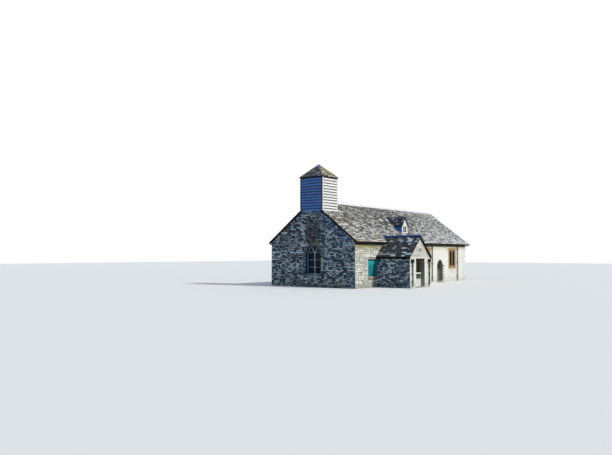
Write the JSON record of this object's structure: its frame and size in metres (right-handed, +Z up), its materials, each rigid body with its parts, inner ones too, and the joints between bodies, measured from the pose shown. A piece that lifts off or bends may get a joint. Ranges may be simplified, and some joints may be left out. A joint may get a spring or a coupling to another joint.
{
  "type": "small chapel",
  "caption": "Rubble-stone chapel with a stone-slate roof, boarded bell turret, roof dormer and gabled porch; its porch gate, priest's door and side door swing.",
  "frame": {"origin": "middle of the nave in plan, at the lowest ground that the walls reach", "axes": "+X east along the nave, +Y north, +Z up; the west gable and turret are at -X and the porch stands on the -Y side"},
  "size_m": [17.58, 10.198, 8.613],
  "materials": {
    "masonry_grey": "rough rubble in lime mortar, damp-stained",
    "masonry_cream": "rough rubble with worn limewash",
    "dressed_stone": "weathered dressed stone",
    "lintel_stone": "weathered pale stone",
    "paving": "worn flagstones",
    "roof_slate": "stone slates with lichen",
    "turret_slate": "small stone slates with ochre lichen",
    "ridge_stone": "weathered pale stone",
    "oak": "aged oak",
    "painted_boards": "old white paint",
    "window_timber": "old pale paint",
    "lead": "dull grey lead sheet",
    "glass": "old flat glass",
    "cast_iron": "black paint on castings",
    "wrought_iron": "black paint on forged iron",
    "brown_boards": "aged boards",
    "teal_boards": "worn teal paint",
    "gate_wood": "weathered pale paint"
  },
  "bodies": {
    "chapel": {"nave_floor": "paving", "west_wall": "masonry_grey", "east_wall": "masonry_cream", "north_wall": "masonry_cream", "south_wall_west": "masonry_cream", "south_wall_middle": "masonry_cream", "south_wall_east": "masonry_cream", "doorway_heads": "masonry_cream", "priest_door_surround": "dressed_stone", "side_door_surround": "masonry_cream", "door_sills": "masonry_cream", "tie_beams": "oak", "nave_roof_south": "roof_slate", "nave_roof_north": "roof_slate", "nave_ridge": "ridge_stone", "turret_frame": "oak", "turret_boarding": "painted_boards", "turret_corner_boards": "painted_boards", "turret_roof": "turret_slate", "turret_cap": "lead", "dormer_walls": "painted_boards", "dormer_roof": "roof_slate", "dormer_window": "painted_boards", "porch_floor": "paving", "porch_walls": "masonry_cream", "porch_gable": "masonry_cream", "porch_lintel": "lintel_stone", "porch_roof_west": "roof_slate", "porch_roof_east": "roof_slate", "porch_ridge": "ridge_stone", "gable_window_frames": "window_timber", "side_window_frames": "dressed_stone", "window_glass": "glass", "gutters": "cast_iron", "downpipes": "cast_iron", "door_pintles": "wrought_iron", "main_door_leaf": "brown_boards"},
    "priest_door": {"priest_door_leaf": "brown_boards", "priest_door_straps": "wrought_iron"},
    "side_door": {"side_door_leaf": "teal_boards", "side_door_straps": "wrought_iron"},
    "porch_gate": {"porch_gate_leaf": "gate_wood", "porch_gate_straps": "wrought_iron"}
  },
  "joints": [
    {"name": "porch_gate_hinge", "type": "hinge", "parent": "chapel", "child": "porch_gate", "pos_m": [-3.8303, -5.901, 0.5], "axis": [0, 0, -1], "range_deg": [0, 95]},
    {"name": "priest_door_hinge", "type": "hinge", "parent": "chapel", "child": "priest_door", "pos_m": [4.1543, -3.345, 0.7], "axis": [0, 0, -1], "range_deg": [0, 90]},
    {"name": "side_door_hinge", "type": "hinge", "parent": "chapel", "child": "side_door", "pos_m": [-7.0043, -3.505, 1.2], "axis": [0, 0, 1], "range_deg": [0, 90]}
  ]
}
